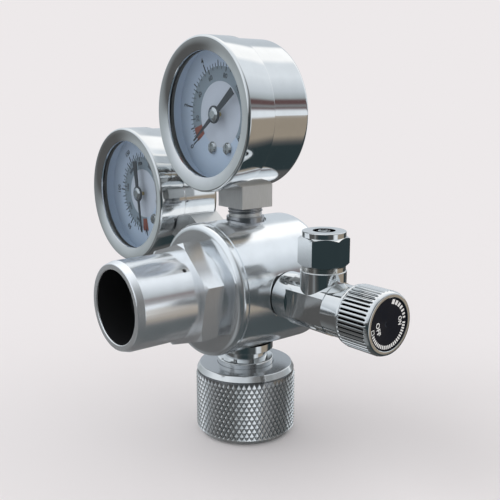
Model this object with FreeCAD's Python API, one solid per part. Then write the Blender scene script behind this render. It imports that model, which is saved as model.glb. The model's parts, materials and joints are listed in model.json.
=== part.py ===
import FreeCAD, Part
import math
import os
from FreeCAD import Placement, Rotation, Vector

# Aquarium carbon dioxide regulator, in millimetres and degrees.
# Origin: centre of the hand nut's mouth, on the inlet axis. +Z is up, the bonnet points
# to -Y and the needle valve to +X. The body's own axis lies along Y.

UP = Vector(0, 0, 1)
DOWN = Vector(0, 0, -1)
RIGHT = Vector(1, 0, 0)
FRONT = Vector(0, -1, 0)
ORIGIN = Vector(0, 0, 0)

# clearances shared by the pieces
running_gap = 0.05
thread_gap = 0.05
seat_gap = 0.1

# body, measured from the ports' plane along its axis
body_radius = 19.5
body_front = 17.3
body_rear = 17.2
rear_edge_round = 2.2
front_edge_round = 1.9
groove_setback = 2.7
groove_width = 0.5
groove_depth = 0.3
ledge_depth = 7.3
low_chamber_radius = 9.5
low_chamber_depth = 2.5
cartridge_radius = 5.0
cartridge_length = 5.0
high_chamber_radius = 4.0
high_chamber_length = 12.5
cross_drill_radius = 0.9

# ports, as distances from the body's axis
gauge_thread_radius = 4.85
gauge_port_floor = 7.2
gauge_spot_radius = 6.2
gauge_spot_height = body_radius - 0.8
low_port_side_drill = 8.5
high_passage_radius = 1.2
side_port_lean = 60.0
inlet_thread_radius = 6.5
inlet_port_floor = 10.0
inlet_passage_radius = 2.2
inlet_spot_radius = 8.7
inlet_spot_height = body_radius - 1.7
valve_spot_radius = 7.0
valve_spot_height = body_radius - 0.9

# bonnet, along the same axis
bonnet_thread_radius = 12.5
bonnet_neck = 2.17
bonnet_hex_across = 27.5
bonnet_hex_length = 5.9
bonnet_hex_corner = 12.1
bonnet_hex_bevel = 1.1
bonnet_hex_rear_bevel = 0.3
bonnet_tail_bevel = 0.4
bonnet_overlap = 0.5
barrel_radius = 12.44
barrel_length = 19.4
mouth_radius = 10.2
mouth_depth = 11.2
mouth_taper_length = 2.0
mouth_face_radius = barrel_radius - 0.6
mouth_round = 0.4
mouth_lip_round = 0.3
web_round = 0.8
spring_chamber_radius = 9.6
bonnet_web = 4.0
vent_radius = 0.6
vent_from_hex = 2.6
vent_angle = 43.0

# adjusting screw and what it presses on
adjuster_radius = 4.0
adjuster_length = 10.0
adjuster_stand_out = 1.6
adjuster_socket_across = 4.0
adjuster_socket_depth = 4.5
adjuster_bevel = 0.6
button_radius = 7.8
button_thickness = 1.8
button_boss_radius = 4.4
button_boss_height = 1.4
diaphragm_radius = 12.0
diaphragm_thickness = 0.4
slip_ring_thickness = 0.6
plate_radius = 7.8
plate_thickness = 1.6
plate_boss_radius = 4.4
plate_boss_height = 1.2
main_wire_radius = 0.85
main_coil_radius = 6.2
main_coil_turns = 4.0

# seat, poppet and its spring
seat_bore_radius = 1.5
seat_hex_across = 9.0
seat_hex_height = 1.5
poppet_pin_radius = 1.0
poppet_head_radius = 2.9
poppet_head_length = 2.4
poppet_cone_length = 0.8
poppet_tail_radius = 1.3
poppet_tail_length = 2.0
poppet_wire_radius = 0.35
poppet_coil_radius = 2.2
poppet_coil_turns = 5.0

# inlet nipple, as distances down from the body's axis
nipple_washer_thickness = 1.8
nipple_washer_radius = 8.4
nipple_flange_radius = 8.4
nipple_flange_thickness = 0.9
nipple_neck_radius = 6.8
nipple_neck_length = 2.7
nipple_shank_shown = 1.8
nipple_shank_radius = 8.6
nipple_thread_setback = 0.3
nipple_head_radius = 9.35
nipple_head_length = 4.6
nipple_bore_radius = 2.2
filter_radius = 3.5
filter_length = 4.0
inlet_seal_thickness = 2.0
inlet_seal_bore_radius = 4.2

# hand nut
nut_radius = 15.27
nut_height = 21.4
nut_top_flat_radius = 14.1
nut_top_bevel = 1.7
nut_bottom_radius = 13.8
nut_bottom_bevel = 1.7
nut_roof = 3.0
nut_thread_radius = 9.75
nut_thread_length = 10.0
nut_relief_radius = 10.3
nut_groove_depth = 0.35
nut_groove_width = 0.6
knurl_starts = 62
knurl_rows = 14
knurl_depth = 0.5

# the whole stands on the hand nut's mouth
axis_height = (nut_height + nipple_shank_shown + nipple_neck_length + nipple_flange_thickness
               + nipple_washer_thickness + inlet_spot_height)

# gauges, along the dial's own axis from the bezel's face
upper_gauge_face = 16.1
side_gauge_face = 17.0
gauge_depth = 22.07
case_radius = 21.0
case_wall = 0.8
case_rear_round = 1.6
case_lip_depth = 5.0
bezel_radius = case_radius + 0.5
bezel_length = 9.0
bezel_crest_radius = bezel_radius - 1.3
bezel_crest_round = 0.9
bezel_inner_radius = bezel_radius - 4.1
bezel_slope_depth = 2.3
window_depth = 2.5
window_thickness = 1.2
window_radius = case_radius - case_wall
gasket_width = 1.6
dial_depth = 7.0
dial_thickness = 0.5
dial_radius = case_radius - case_wall - 0.4
dial_hole_radius = 1.4
dial_screw_offset = 3.5
dial_screw_drop = 9.5
dial_screw_head_radius = 1.8
dial_screw_head_height = 0.8
dial_screw_radius = 0.8
dial_screw_slot = 0.4
dial_screw_hub_bevel = 0.3

# gauge stem and socket block
stem_across = 11.3
stem_length_below_centre = case_radius + 5.9
stem_thread_end = 12.0
stem_bore_radius = 1.3
stem_bore_end = 1.0
stem_washer_thickness = 1.6
stem_washer_radius = 5.6
upper_neck_shown = 4.4
upper_gauge_distance = gauge_spot_height + upper_neck_shown + stem_length_below_centre
side_gauge_distance = gauge_spot_height + stem_washer_thickness + stem_length_below_centre
shoulder_height = 3.0
socket_top = 14.5
socket_depth_near = 10.5
socket_depth_far = 20.6
horn_left = 9.8
horn_top = 11.5
horn_foot = 17.3
horn_wall = 0.8

# pressure tube of the gauge
tube_radius = 14.5
tube_thickness = 1.6
tube_near = 9.4
tube_far = 15.4
tube_start_clock = 218.0
tube_sweep = 266.0
tube_edge_round = 0.7
tube_lug_width = 1.8
tube_lug_sheet = 1.15
link_pin_stand_out = 0.4

# gauge movement
tooth_module = 0.22
pinion_teeth = 12
sector_teeth = 72
spare_teeth = 5
tooth_width_share = 0.36
tooth_root = 1.5
tooth_addendum = 0.9
tooth_tip_share = 0.5
tooth_foot_share = 1.5
wheel_dedendum = 1.25
pointer_sweep = 270.0
pointer_rest_clock = 232.0
front_plate_depth = 8.6
plate_sheet = 0.8
rear_plate_depth = 13.2
movement_half_width = 5.6
movement_top = 3.9
pillar_radius = 0.7
pillar_side = 4.7
pillar_top = 2.9
pillar_foot = 0.8
screw_pillar_radius = 1.3
sector_depth = 10.8
sector_sheet = 1.2
pinion_near = 10.4
pinion_far = 12.6
arbor_radius = 0.6
pivot_stand_out = 0.3
sector_pivot_radius = 0.5
sector_tail = 3.6
sector_tail_clock = 200.0
sector_first_tooth = -2.5
sector_end_margin = 0.6
sector_rim_width = 1.3
sector_arm_width = 1.6
sector_hub_radius = 1.5
link_depth = 12.15
link_sheet = 0.5
link_width = 1.5
link_pin_radius = 0.4
link_end_clock = 130.0
link_end_radius = 14.0
hairspring_depth = 9.6
hairspring_width = 0.5
hairspring_strip = 0.12
hairspring_inner = 0.9
hairspring_outer = 3.4
hairspring_turns = 3

# pointer
pointer_depth = 4.65
pointer_sheet = 0.3
pointer_tip_radius = 12.6
pointer_tip_width = 0.35
pointer_root_width = 1.3
pointer_tail_radius = 10.6
pointer_tail_width = 2.2
pointer_disc_radius = 2.5
hub_radius = 2.0
hub_height = 0.6

# needle valve, along its own axis from the body's axis
valve_washer_thickness = 1.0
valve_washer_radius = 6.4
valve_base_radius = 6.8
valve_base_end = 25.0
valve_bar_radius = 7.3
valve_bar_flats = 12.5
valve_bar_end = 39.1
valve_end_radius = 7.1
valve_end = 45.0
valve_thread_radius = 4.85
valve_thread_start = 10.0
valve_inlet_radius = 1.6
orifice_radius = 0.6
orifice_start = 28.0
needle_chamber_start = 30.0
needle_chamber_radius = 2.6
spindle_thread_start = 39.5
spindle_thread_hole = 3.0
gland_bore_radius = 4.5
boss_offset = 33.06
boss_radius = 6.25
boss_top = 9.8
stub_radius = 4.9
stub_top = 15.5
spigot_root_radius = 2.05
spigot_tip_radius = 1.7
spigot_top = 19.4
spigot_bore_radius = 1.0
outlet_bore_radius = 1.4

# spindle, gland and knob
needle_tip_radius = 0.2
needle_tip_at = 28.4
needle_root_radius = 1.5
needle_root_at = 32.0
needle_shoulder_at = 34.6
spindle_radius = 2.4
spindle_thread_length = 1.7
stem_radius = 2.0
spindle_end = 51.6
o_ring_at = 36.0
o_ring_wire = 0.5
spindle_pitch = 0.75
spindle_turns = 3
gland_flange_radius = 3.9
gland_flange_length = 2.3
knob_rear = 45.3
knob_radius = 8.4
knob_length = 11.1
knob_collar_radius = 8.1
knob_collar_length = 0.65
knob_rim_length = 1.1
knob_rim_round = 0.5
knob_flutes = 44
knob_flute_depth = 0.5
knob_flute_share = 0.5
knob_flute_margin = 0.5
knob_recess_radius = 5.0
knob_recess_depth = 3.4
dial_insert_radius = 6.8
dial_insert_thickness = 1.5
dial_insert_recess = 0.35
dial_insert_cone = 0.7
knob_screw_head_radius = 2.75
knob_screw_head_height = 1.7
knob_screw_radius = 1.25
knob_screw_length = 6.0
knob_screw_bite = 5.5
knob_screw_socket = 2.0
knob_screw_socket_depth = 1.0

# tube nut on the outlet
tube_nut_across = 12.0
tube_nut_bottom = 11.0
tube_nut_hex_top = 18.9
tube_nut_top = 20.36
tube_nut_top_radius = 5.9
tube_nut_corner = 48.6
tube_nut_bevel = 1.1
tube_nut_thread_top = 16.3
tube_nut_hole_radius = 3.05
tube_nut_hole_cone = 1.0
nut_washer_radius = 5.97


def outline(corners):
    # closed wire through (radius, height) corners, each with an optional rounding radius
    points = [Vector(corner[0], 0, corner[1]) for corner in corners]
    starts = []
    edges = []
    count = len(corners)
    for index, corner in enumerate(corners):
        here = points[index]
        rounding = corner[2] if len(corner) > 2 else 0
        if not rounding:
            starts.append((here, here, None))
            continue
        back = (points[index - 1] - here).normalize()
        ahead = (points[(index + 1) % count] - here).normalize()
        half = back.getAngle(ahead) / 2
        run = rounding / math.tan(half)
        bisector = (back + ahead).normalize()
        middle = here + bisector * (rounding / math.sin(half) - rounding)
        starts.append((here + back * run, here + ahead * run, middle))
    for index, (first, last, middle) in enumerate(starts):
        if middle:
            edges.append(Part.Arc(first, middle, last).toShape())
        following = starts[(index + 1) % count][0]
        if last.distanceToPoint(following) > 1e-6:
            edges.append(Part.LineSegment(last, following).toShape())
    return Part.Wire(edges)


def turned(corners):
    return Part.Face(outline(corners)).revolve(ORIGIN, UP, 360)


def rod(radius, low, high):
    return Part.makeCylinder(radius, high - low, Vector(0, 0, low))


def ring(outer, inner, low, high):
    return rod(outer, low, high).cut(rod(inner, low, high))


def box(x_low, x_high, y_low, y_high, z_low, z_high):
    return Part.makeBox(x_high - x_low, y_high - y_low, z_high - z_low, Vector(x_low, y_low, z_low))


def prism(sides, across, low, high, turn=0.0):
    # regular bar, with one corner at the angle turn from +X
    corner_radius = across / 2 / math.cos(math.pi / sides)
    angles = [math.radians(turn) + 2 * math.pi * side / sides for side in range(sides + 1)]
    points = [Vector(corner_radius * math.cos(a), corner_radius * math.sin(a), low) for a in angles]
    points[-1] = points[0]
    return Part.Face(Part.makePolygon(points)).extrude(Vector(0, 0, high - low))


def bevelled_hexagon(across, low, high, turn, bevel, rear_bevel):
    # the corners are turned off by a 30 degree cone at each end
    corner_radius = across / math.sqrt(3)
    slope = math.tan(math.radians(30))
    limits = [(0, low), (corner_radius - rear_bevel, low), (corner_radius + 0.01, low + rear_bevel * slope)]
    limits += [(corner_radius + 0.01, high - bevel * slope), (corner_radius - bevel, high), (0, high)]
    return prism(6, across, low, high, turn).common(turned(limits))


def facing(shape, direction, at=ORIGIN):
    # stands a shape made along +Z on another direction
    placed = shape.copy()
    placed.Placement = Placement(at, Rotation(UP, direction)).multiply(placed.Placement)
    return placed


def on_body(shape, direction):
    return facing(shape, direction, Vector(0, 0, axis_height))


def coil(mean_radius, wire_radius, low, high, turns):
    # open coil whose wire lies wholly between low and high
    rise = high - low - 2 * wire_radius
    path = Part.makeHelix(rise / turns, rise, mean_radius)
    circle = Part.makeCircle(wire_radius, Vector(mean_radius, 0, 0), Vector(0, 1, 0))
    wire = Part.Wire(path.Edges).makePipeShell([Part.Wire(circle)], True, True)
    wire.translate(Vector(0, 0, low + wire_radius))
    return wire


def save(name, *shapes):
    solids = [solid for shape in shapes for solid in shape.Solids]
    whole = solids[0] if len(solids) == 1 else Part.makeCompound(solids)
    if not whole.isValid():
        raise ValueError(name + " is not a valid solid")
    whole.exportStep("parts/" + name + ".step")


# levels along the body's axis, towards the bonnet
ledge_level = body_front - ledge_depth
chamber_floor = ledge_level - low_chamber_depth
cartridge_floor = chamber_floor - cartridge_length
high_chamber_end = cartridge_floor - high_chamber_length
diaphragm_top = ledge_level + diaphragm_thickness
bonnet_tail = diaphragm_top + slip_ring_thickness
hex_low = body_front + bonnet_neck
hex_high = hex_low + bonnet_hex_length
mouth_level = hex_high + barrel_length
web_top = mouth_level - mouth_depth
web_low = web_top - bonnet_web


def port_direction(lean):
    # lean from straight up towards -X, across the body's axis
    return Vector(-math.sin(math.radians(lean)), 0, math.cos(math.radians(lean)))


def regulator_body():
    groove_high = body_front - groove_setback
    groove_low = groove_high - groove_width
    profile = [(0, -body_rear), (body_radius, -body_rear, rear_edge_round), (body_radius, groove_low)]
    profile += [(body_radius - groove_depth, groove_low), (body_radius - groove_depth, groove_high)]
    profile += [(body_radius, groove_high), (body_radius, body_front, front_edge_round), (0, body_front)]
    body = turned(profile)
    body = body.cut(rod(bonnet_thread_radius + thread_gap, ledge_level, body_front))
    body = body.cut(rod(low_chamber_radius, chamber_floor, ledge_level))
    body = body.cut(rod(cartridge_radius + thread_gap, cartridge_floor, chamber_floor))
    body = body.cut(rod(high_chamber_radius, high_chamber_end, cartridge_floor))
    body = on_body(body, FRONT)
    reach = 2 * body_radius
    gauge_bore = gauge_thread_radius + thread_gap
    low_cuts = [rod(gauge_bore, gauge_port_floor, reach), rod(gauge_spot_radius, gauge_spot_height, reach)]
    valve_cuts = [rod(valve_thread_radius + thread_gap, gauge_port_floor, reach)]
    valve_cuts += [rod(valve_spot_radius, valve_spot_height, reach)]
    high_cuts = low_cuts + [rod(high_passage_radius, high_chamber_radius / 2, gauge_port_floor)]
    inlet_cuts = [rod(inlet_thread_radius + thread_gap, inlet_port_floor, reach)]
    inlet_cuts += [rod(inlet_spot_radius, inlet_spot_height, reach)]
    inlet_cuts += [rod(inlet_passage_radius, high_chamber_radius / 2, inlet_port_floor)]
    for direction, cuts in ((UP, low_cuts), (RIGHT, valve_cuts), (DOWN, inlet_cuts),
                            (port_direction(side_port_lean), high_cuts)):
        for cut in cuts:
            body = body.cut(on_body(cut, direction))
    for direction in (UP, RIGHT):
        drill = rod(cross_drill_radius, 0, chamber_floor)
        drilled = facing(drill, FRONT, direction * low_port_side_drill + Vector(0, 0, axis_height))
        body = body.cut(drilled)
    return body


def bonnet():
    chamber = spring_chamber_radius
    tail_top = hex_low + 2 * bonnet_overlap
    barrel_low = hex_low + bonnet_overlap
    tail = [(chamber, bonnet_tail), (bonnet_thread_radius, bonnet_tail, bonnet_tail_bevel)]
    tail += [(bonnet_thread_radius, tail_top), (chamber, tail_top)]
    hexagon = bevelled_hexagon(bonnet_hex_across, hex_low, hex_high, 90 - bonnet_hex_corner,
                               bonnet_hex_bevel, bonnet_hex_rear_bevel)
    barrel = [(chamber, barrel_low), (barrel_radius, barrel_low)]
    barrel += [(barrel_radius, mouth_level - mouth_taper_length, mouth_round)]
    barrel += [(mouth_face_radius, mouth_level, mouth_round), (mouth_radius, mouth_level, mouth_lip_round)]
    barrel += [(mouth_radius, web_top, web_round), (0, web_top)]
    barrel += [(0, web_low), (chamber, web_low, web_round)]
    piece = turned(tail).fuse(hexagon.cut(rod(chamber, hex_low, hex_high)))
    piece = piece.fuse(turned(barrel))
    piece = piece.cut(rod(adjuster_radius + running_gap, web_low, web_top)).removeSplitter()
    from_right = math.radians(90 - vent_angle)
    outward = Vector(math.cos(from_right), math.sin(from_right), 0)
    vent = Part.makeCylinder(vent_radius, 2 * barrel_radius, Vector(0, 0, hex_high + vent_from_hex), outward)
    return piece.cut(vent)


adjuster_high = web_top + adjuster_stand_out
adjuster_low = adjuster_high - adjuster_length
button_high = adjuster_low - running_gap
button_low = button_high - button_thickness
plate_low = diaphragm_top + seat_gap
plate_high = plate_low + plate_thickness


def adjusting_screw():
    profile = [(0, adjuster_low), (adjuster_radius - adjuster_bevel, adjuster_low)]
    profile += [(adjuster_radius, adjuster_low + adjuster_bevel)]
    profile += [(adjuster_radius, adjuster_high - adjuster_bevel)]
    profile += [(adjuster_radius - adjuster_bevel, adjuster_high), (0, adjuster_high)]
    socket = prism(6, adjuster_socket_across, adjuster_high - adjuster_socket_depth, adjuster_high)
    return turned(profile).cut(socket)


def spring_button():
    foot = button_low - button_boss_height
    profile = [(0, foot), (button_boss_radius, foot, 0.3)]
    profile += [(button_boss_radius, button_low), (button_radius, button_low)]
    profile += [(button_radius, button_high, 0.4), (0, button_high)]
    return turned(profile)


def diaphragm_plate():
    profile = [(0, plate_low), (plate_radius, plate_low, 0.3), (plate_radius, plate_high)]
    profile += [(plate_boss_radius, plate_high), (plate_boss_radius, plate_high + plate_boss_height, 0.3)]
    profile += [(0, plate_high + plate_boss_height)]
    return turned(profile)


seat_high = chamber_floor + seat_hex_height
poppet_top = cartridge_floor - seat_gap
poppet_back = poppet_top - poppet_head_length


def valve_seat():
    cartridge = ring(cartridge_radius, seat_bore_radius, cartridge_floor, chamber_floor)
    head = prism(6, seat_hex_across, chamber_floor, seat_high)
    head = head.cut(rod(seat_bore_radius, chamber_floor, seat_high))
    return cartridge.fuse(head).removeSplitter()


def poppet():
    profile = [(0, poppet_back - poppet_tail_length), (poppet_tail_radius, poppet_back - poppet_tail_length)]
    profile += [(poppet_tail_radius, poppet_back), (poppet_head_radius, poppet_back)]
    profile += [(poppet_head_radius, poppet_top - poppet_cone_length), (seat_bore_radius, poppet_top)]
    profile += [(poppet_pin_radius, poppet_top), (poppet_pin_radius, ledge_level - seat_gap)]
    profile += [(0, ledge_level - seat_gap)]
    return turned(profile)


def pressure_reducing_set():
    save("regulator_body", regulator_body())
    save("bonnet", on_body(bonnet(), FRONT))
    save("adjusting_screw", on_body(adjusting_screw(), FRONT))
    save("spring_button", on_body(spring_button(), FRONT))
    spring = coil(main_coil_radius, main_wire_radius, plate_high, button_low, main_coil_turns)
    save("adjusting_spring", on_body(spring, FRONT))
    save("diaphragm", on_body(rod(diaphragm_radius, ledge_level, diaphragm_top), FRONT))
    slip_ring = ring(diaphragm_radius, low_chamber_radius, diaphragm_top, bonnet_tail)
    save("diaphragm_slip_ring", on_body(slip_ring, FRONT))
    save("diaphragm_plate", on_body(diaphragm_plate(), FRONT))
    save("valve_seat", on_body(valve_seat(), FRONT))
    save("poppet", on_body(poppet(), FRONT))
    return_spring = coil(poppet_coil_radius, poppet_wire_radius, high_chamber_end, poppet_back,
                         poppet_coil_turns)
    save("poppet_spring", on_body(return_spring, FRONT))


# levels down from the body's axis, along the inlet
washer_low = inlet_spot_height + nipple_washer_thickness
flange_low = washer_low + nipple_flange_thickness
neck_low = flange_low + nipple_neck_length
nut_top_level = axis_height - nut_height
nut_ledge_level = nut_top_level + nut_roof
head_top = nut_ledge_level + seat_gap
head_low = head_top + nipple_head_length
filter_top = head_low - filter_length


def inlet_nipple():
    thread_end = inlet_port_floor + nipple_thread_setback
    profile = [(nipple_bore_radius, thread_end), (inlet_thread_radius, thread_end, 0.4)]
    profile += [(inlet_thread_radius, washer_low), (nipple_flange_radius, washer_low)]
    profile += [(nipple_flange_radius, flange_low, 0.2), (nipple_neck_radius, flange_low)]
    profile += [(nipple_neck_radius, neck_low), (nipple_shank_radius, neck_low, 0.5)]
    profile += [(nipple_shank_radius, head_top), (nipple_head_radius, head_top)]
    profile += [(nipple_head_radius, head_low, 0.4), (filter_radius + running_gap, head_low)]
    profile += [(filter_radius + running_gap, filter_top), (nipple_bore_radius, filter_top)]
    return turned(profile)


def knurl(low, high):
    # diamond knurl: a pyramid on every second crossing of the two sets of grooves
    columns = 2 * knurl_starts
    rise = (high - low) / knurl_rows

    def spot(column, row):
        peak = (column + row) % 2 and 0 < row < knurl_rows
        radius = nut_radius if peak else nut_radius - knurl_depth
        angle = 2 * math.pi * (column % columns) / columns
        return Vector(radius * math.cos(angle), radius * math.sin(angle), low + rise * row)

    faces = []
    for row in range(knurl_rows):
        for column in range(columns):
            corners = [spot(column, row), spot(column + 1, row)]
            corners += [spot(column + 1, row + 1), spot(column, row + 1)]
            turn = (column + row) % 2
            corners = corners[turn:] + corners[:turn]
            for plan in (corners[:3], corners[2:] + corners[:1]):
                faces.append(Part.Face(Part.makePolygon(plan + plan[:1])))
    for row in (0, knurl_rows):
        rim = [spot(column, row) for column in range(columns + 1)]
        faces.append(Part.Face(Part.makePolygon(rim)))
    return Part.makeSolid(Part.makeShell(faces))


def hand_nut():
    shank_hole = nipple_shank_radius + seat_gap
    roof_low = nut_height - nut_roof
    groove_top = nut_height - nut_top_bevel
    groove_low = groove_top - nut_groove_width
    groove_floor = nut_radius - knurl_depth - nut_groove_depth
    above = [(0, groove_low), (groove_floor, groove_low), (groove_floor, groove_top)]
    above += [(nut_radius - nut_groove_depth, groove_top), (nut_top_flat_radius, nut_height, 0.4)]
    above += [(0, nut_height)]
    grip = [(0, 0), (nut_bottom_radius, 0, 0.3), (nut_radius, nut_bottom_bevel)]
    grip += [(nut_radius, groove_low), (0, groove_low)]
    inside = [(0, 0), (nut_thread_radius, 0), (nut_thread_radius, nut_thread_length)]
    inside += [(nut_relief_radius, nut_thread_length), (nut_relief_radius, roof_low)]
    inside += [(shank_hole, roof_low), (shank_hole, nut_height), (0, nut_height)]
    blank = knurl(0, groove_low).common(turned(grip)).fuse(turned(above))
    return blank.cut(turned(inside))


def inlet_set():
    washer = ring(nipple_washer_radius, inlet_thread_radius + thread_gap, inlet_spot_height, washer_low)
    save("nipple_washer", on_body(washer, DOWN))
    save("inlet_nipple", on_body(inlet_nipple(), DOWN))
    save("inlet_filter", on_body(rod(filter_radius, filter_top, head_low), DOWN))
    seal = ring(nipple_head_radius, inlet_seal_bore_radius, head_low, head_low + inlet_seal_thickness)
    save("inlet_seal", on_body(seal, DOWN))
    save("hand_nut", hand_nut())


# gauge pieces are made about the dial's centre, along the depth from the bezel's face,
# then stood on their port
teeth_in_sector = round(pointer_sweep / 360 * pinion_teeth) + spare_teeth
centre_distance = tooth_module * (pinion_teeth + sector_teeth) / 2
sector_pivot = Vector(0, -centre_distance, 0)


def clock(radius, degrees_past_twelve):
    # seen from the front, with the dial's up along +Y
    angle = math.radians(degrees_past_twelve)
    return Vector(radius * math.sin(angle), radius * math.cos(angle), 0)


def slab(points, near, far):
    # flat piece cut to a straight-sided outline, between two depths
    raised = [point + Vector(0, 0, near) for point in points]
    return Part.Face(Part.makePolygon(raised + raised[:1])).extrude(Vector(0, 0, far - near))


def peg(radius, near, far, at=ORIGIN):
    return Part.makeCylinder(radius, far - near, at + Vector(0, 0, near))


def lug(start, finish, width, near, far):
    # bar with a round at each end
    along = (finish - start).normalize()
    side = Vector(-along.y, along.x, 0) * (width / 2)
    bar = slab([start + side, finish + side, finish - side, start - side], near, far)
    return bar.fuse([peg(width / 2, near, far, start), peg(width / 2, near, far, finish)]).removeSplitter()


def stem_plan(gap):
    # the square stem's plan across the dial's depth, with room for it where gap is given
    return stem_across / 2 + gap


def gauge_case(face):
    inner = case_radius - case_wall
    rear_wall = gauge_depth - case_wall
    profile = [(case_radius, case_lip_depth), (case_radius, gauge_depth, case_rear_round)]
    profile += [(0, gauge_depth), (0, rear_wall), (inner, rear_wall, case_rear_round - case_wall)]
    profile += [(inner, case_lip_depth)]
    half = stem_plan(running_gap)
    hole = box(-half, half, -2 * case_radius, -socket_top, face - half, face + half)
    return turned(profile).cut(hole)


def gauge_bezel():
    outer_wall = case_radius + running_gap
    seat_radius = window_radius + running_gap
    lip = case_lip_depth - seat_gap
    profile = [(outer_wall, bezel_length), (bezel_radius, bezel_length, 0.15), (bezel_radius, 0, 0.9)]
    profile += [(bezel_crest_radius, 0, bezel_crest_round), (bezel_inner_radius, bezel_slope_depth)]
    profile += [(bezel_inner_radius, window_depth), (seat_radius, window_depth)]
    profile += [(seat_radius, lip), (outer_wall, lip)]
    return turned(profile)


def dial_screws():
    top = dial_depth - dial_screw_head_height
    profile = [(0, top), (0.8 * dial_screw_head_radius, top, 0.3)]
    profile += [(dial_screw_head_radius, dial_depth - dial_screw_hub_bevel)]
    profile += [(dial_screw_head_radius, dial_depth), (dial_screw_radius, dial_depth)]
    profile += [(dial_screw_radius, front_plate_depth), (0, front_plate_depth)]
    screw = turned(profile)
    long_half = dial_screw_head_radius
    short_half = dial_screw_slot / 2
    slot_low = top
    slot_high = slot_low + dial_screw_slot
    screw = screw.cut(box(-long_half, long_half, -short_half, short_half, slot_low, slot_high))
    screw = screw.cut(box(-short_half, short_half, -long_half, long_half, slot_low, slot_high))
    screws = []
    for side in (-1, 1):
        copy = screw.copy()
        copy.translate(Vector(side * dial_screw_offset, -dial_screw_drop, 0))
        screws.append(copy)
    return screws


def gauge_dial():
    dial = ring(dial_radius, dial_hole_radius, dial_depth, dial_depth + dial_thickness)
    for side in (-1, 1):
        at = Vector(side * dial_screw_offset, -dial_screw_drop, 0)
        dial = dial.cut(peg(dial_screw_radius + running_gap, dial_depth, dial_depth + dial_thickness, at))
    return dial


def gauge_stem(face, distance):
    half = stem_plan(0)
    square_low = -stem_length_below_centre
    shoulder = -socket_top - shoulder_height
    rear = min(face + half, gauge_depth - seat_gap)
    shank = box(-half, half, square_low, shoulder, face - half, rear)
    block = box(-half, half, shoulder, -socket_top, socket_depth_near, socket_depth_far)
    thread_end = Vector(0, stem_thread_end - distance, face)
    up = Vector(0, 1, 0)
    neck_length = distance - stem_length_below_centre - stem_thread_end
    neck = Part.makeCylinder(gauge_thread_radius, neck_length, thread_end, up)
    bore_length = distance - stem_thread_end - socket_top - stem_bore_end
    bore = Part.makeCylinder(stem_bore_radius, bore_length, thread_end, up)
    inner = case_radius - case_wall - seat_gap
    outside = box(-half, half, -2 * case_radius, -case_radius + 2 * case_wall, 0, gauge_depth)
    limit = rod(inner, 0, gauge_depth - case_wall - seat_gap).fuse(outside)
    piece = shank.fuse([block, horn_block()]).common(limit)
    return piece.fuse(neck).cut(bore).removeSplitter()


def horn_block():
    # the shoulder that the pressure tube's root is brazed into, clear of the movement's plates
    near, far = tube_near - horn_wall, tube_far + horn_wall
    foot = box(-horn_left, -stem_across / 2 + horn_wall, -horn_foot, -socket_top, near, far)
    post = box(-horn_left, -movement_half_width - seat_gap, -horn_foot, -horn_top, near, far)
    return foot.fuse(post).removeSplitter()


def pressure_tube():
    # flattened tube bent nearly full circle, rooted in the socket's horn
    half = tube_thickness / 2
    inner, outer = tube_radius - half, tube_radius + half
    corners = [(inner, tube_near), (outer, tube_near), (outer, tube_far), (inner, tube_far)]
    section = Part.Face(outline([corner + (tube_edge_round,) for corner in corners]))
    section.rotate(ORIGIN, UP, 90 - tube_start_clock)
    tube = section.revolve(ORIGIN, DOWN, tube_sweep)
    tip_clock = tube_start_clock + tube_sweep - 360
    pin_place = clock(link_end_radius, link_end_clock)
    lug_near = link_depth - running_gap - tube_lug_sheet
    tip = lug(clock(tube_radius, tip_clock), pin_place, tube_lug_width, lug_near, link_depth - running_gap)
    pin = peg(link_pin_radius, lug_near, link_depth + link_sheet + link_pin_stand_out, pin_place)
    return tube.cut(horn_block()).fuse([tip, pin]).removeSplitter()


def movement_plates():
    half = movement_half_width
    plan = [Vector(-half, -socket_top, 0), Vector(half, -socket_top, 0), Vector(half, movement_top, 0),
            Vector(-half, movement_top, 0)]
    front = slab(plan, front_plate_depth, front_plate_depth + plate_sheet)
    rear = slab(plan, rear_plate_depth, rear_plate_depth + plate_sheet)
    frame = front.fuse(rear)
    foot = pillar_foot - socket_top
    for x, y in ((-pillar_side, pillar_top), (pillar_side, pillar_top), (pillar_side, foot)):
        pillar = peg(pillar_radius, front_plate_depth, rear_plate_depth + plate_sheet, Vector(x, y, 0))
        frame = frame.fuse(pillar)
    for side in (-1, 1):
        at = Vector(side * dial_screw_offset, -dial_screw_drop, 0)
        pillar_far = front_plate_depth + plate_sheet
        frame = frame.fuse(peg(screw_pillar_radius, dial_depth + dial_thickness, pillar_far, at))
        frame = frame.cut(peg(dial_screw_radius, dial_depth, front_plate_depth, at))
    for radius, at in ((arbor_radius, ORIGIN), (sector_pivot_radius, sector_pivot)):
        frame = frame.cut(peg(radius + running_gap, front_plate_depth, rear_plate_depth + plate_sheet, at))
    return frame.removeSplitter()


def tooth(radius, angle):
    # one straight-flanked tooth standing on a pitch circle, rooted below it
    half_step = math.pi * tooth_module * tooth_width_share / 2
    levels = ((radius - tooth_root * tooth_module, tooth_foot_share * half_step), (radius, half_step),
              (radius + tooth_addendum * tooth_module, tooth_tip_share * half_step))
    along = clock(1, angle)
    across = Vector(-along.y, along.x, 0)
    left = [along * level + across * half for level, half in levels]
    right = [along * level - across * half for level, half in reversed(levels)]
    return left + right


def pinion():
    pitch_radius = tooth_module * pinion_teeth / 2
    wheel = peg(pitch_radius - wheel_dedendum * tooth_module, pinion_near, pinion_far)
    teeth = []
    for index in range(pinion_teeth):
        plan = tooth(pitch_radius, 180 + 360 * index / pinion_teeth)
        teeth.append(slab(plan, pinion_near, pinion_far))
    wheel = wheel.fuse(teeth)
    shaft = peg(arbor_radius, pointer_depth, rear_plate_depth + plate_sheet + pivot_stand_out)
    return wheel.fuse(shaft).removeSplitter()


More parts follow.
